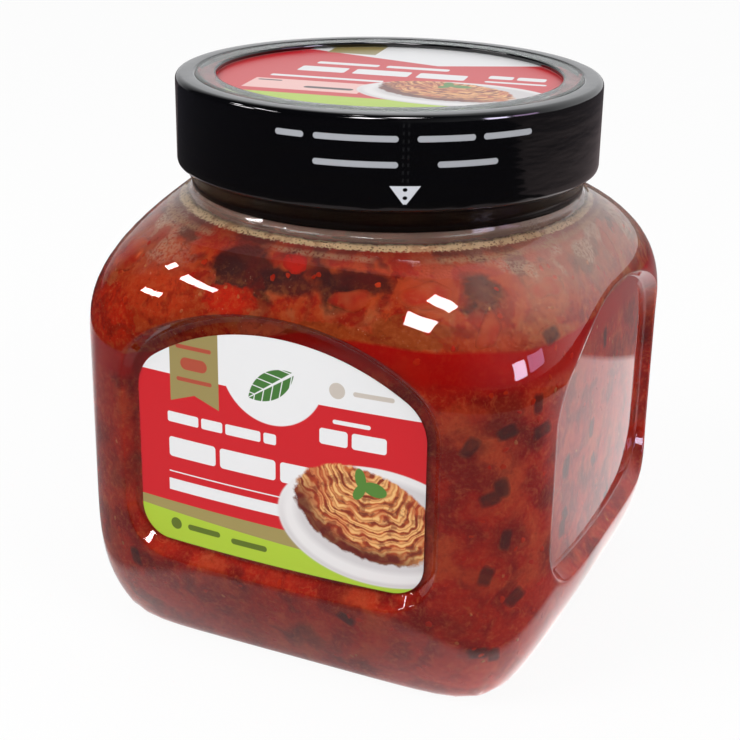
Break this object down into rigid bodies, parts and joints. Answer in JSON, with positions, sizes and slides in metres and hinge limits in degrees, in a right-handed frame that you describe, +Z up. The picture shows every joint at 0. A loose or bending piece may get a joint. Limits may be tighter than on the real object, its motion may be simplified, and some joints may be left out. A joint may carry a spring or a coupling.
{
  "type": "kimchi jar",
  "caption": "Clear wide-mouth jar with a rounded-square body and sunk side panels, packed with kimchi, with a paper label, a black screw cap and a shrunk film sleeve.",
  "frame": {"origin": "middle of the standing face under the jar", "axes": "+Z up the jar's axis, the front label faces -Y, a bare side panel faces +X"},
  "size_m": [0.125, 0.125, 0.135],
  "materials": {
    "clear_plastic": "clear, glossy moulded plastic",
    "contents": "wet, deep red chili paste over pale cabbage",
    "black_plastic": "glossy moulded plastic",
    "black_film": "glossy shrunk film, printed black on the inside",
    "label_paper": "coated paper with plain fields of colour"
  },
  "bodies": {
    "root": {"jar": "clear_plastic", "kimchi": "contents", "cap": "black_plastic", "sleeve": "black_film", "front_label": "label_paper", "cap_label": "label_paper"}
  },
  "joints": []
}
